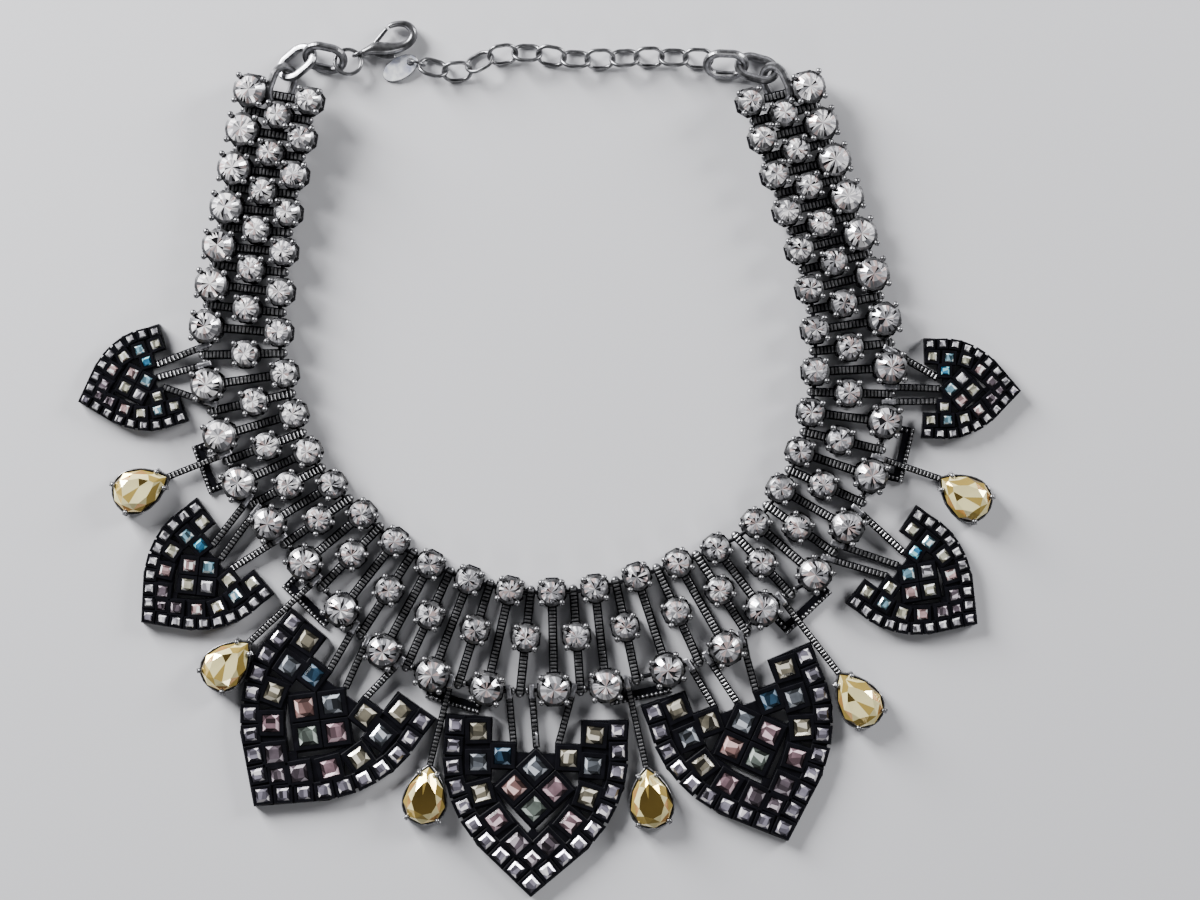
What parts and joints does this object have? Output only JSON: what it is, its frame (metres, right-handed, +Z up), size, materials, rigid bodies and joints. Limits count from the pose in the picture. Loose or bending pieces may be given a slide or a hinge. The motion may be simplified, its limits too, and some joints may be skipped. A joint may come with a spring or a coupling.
{
  "type": "bib necklace",
  "caption": "Bib necklace of dark metal bars set with clear round stones, black mosaic panels, champagne pear drops and an extension chain, lying flat.",
  "frame": {"origin": "middle of the necklace's footprint, on the surface that it rests on", "axes": "+X to the right, +Y from the centre panel towards the clasp, +Z up from the surface"},
  "size_m": [0.254, 0.2362, 0.011],
  "materials": {
    "gunmetal": "satin",
    "black_enamel": "satin",
    "antique_metal": "polished",
    "silver": "satin",
    "champagne_glass": "gloss",
    "crystal": "gloss"
  },
  "bodies": {
    "necklace": {"collar_left": "gunmetal", "collar_right": "gunmetal", "panel_left_small": "black_enamel", "hanger_left_small_first": "gunmetal", "hanger_left_small_middle": "gunmetal", "hanger_left_small_last": "gunmetal", "panel_left_medium": "black_enamel", "hanger_left_medium_first": "gunmetal", "hanger_left_medium_middle": "gunmetal", "hanger_left_medium_last": "gunmetal", "panel_left_large": "black_enamel", "hanger_left_large_first": "gunmetal", "hanger_left_large_middle": "gunmetal", "hanger_left_large_last": "gunmetal", "panel_center": "black_enamel", "hanger_center_first": "gunmetal", "hanger_center_middle": "gunmetal", "hanger_center_last": "gunmetal", "panel_right_large": "black_enamel", "hanger_right_large_first": "gunmetal", "hanger_right_large_middle": "gunmetal", "hanger_right_large_last": "gunmetal", "panel_right_medium": "black_enamel", "hanger_right_medium_first": "gunmetal", "hanger_right_medium_middle": "gunmetal", "hanger_right_medium_last": "gunmetal", "panel_right_small": "black_enamel", "hanger_right_small_first": "gunmetal", "hanger_right_small_middle": "gunmetal", "hanger_right_small_last": "gunmetal", "drop_left_outer": "gunmetal", "pear_left_outer": "champagne_glass", "bracket_left_outer": "black_enamel", "drop_left_middle": "gunmetal", "pear_left_middle": "champagne_glass", "bracket_left_middle": "black_enamel", "drop_left_inner": "gunmetal", "pear_left_inner": "champagne_glass", "bracket_left_inner": "black_enamel", "drop_right_inner": "gunmetal", "pear_right_inner": "champagne_glass", "bracket_right_inner": "black_enamel", "drop_right_middle": "gunmetal", "pear_right_middle": "champagne_glass", "bracket_right_middle": "black_enamel", "drop_right_outer": "gunmetal", "pear_right_outer": "champagne_glass", "bracket_right_outer": "black_enamel", "curb_chain_left": "antique_metal", "curb_chain_right": "antique_metal", "extension_chain": "antique_metal", "jump_ring": "antique_metal", "clasp_body": "antique_metal", "tag_ring": "antique_metal", "tag": "silver"},
    "lever": {"clasp_lever": "antique_metal"}
  },
  "joints": [
    {"name": "clasp_lever_hinge", "type": "hinge", "parent": "necklace", "child": "lever", "pos_m": [-0.04771, 0.1107, 0.002], "axis": [0, 0, 1], "range_deg": [-20, 0], "stiffness_Nm_per_rad": 0.01}
  ]
}
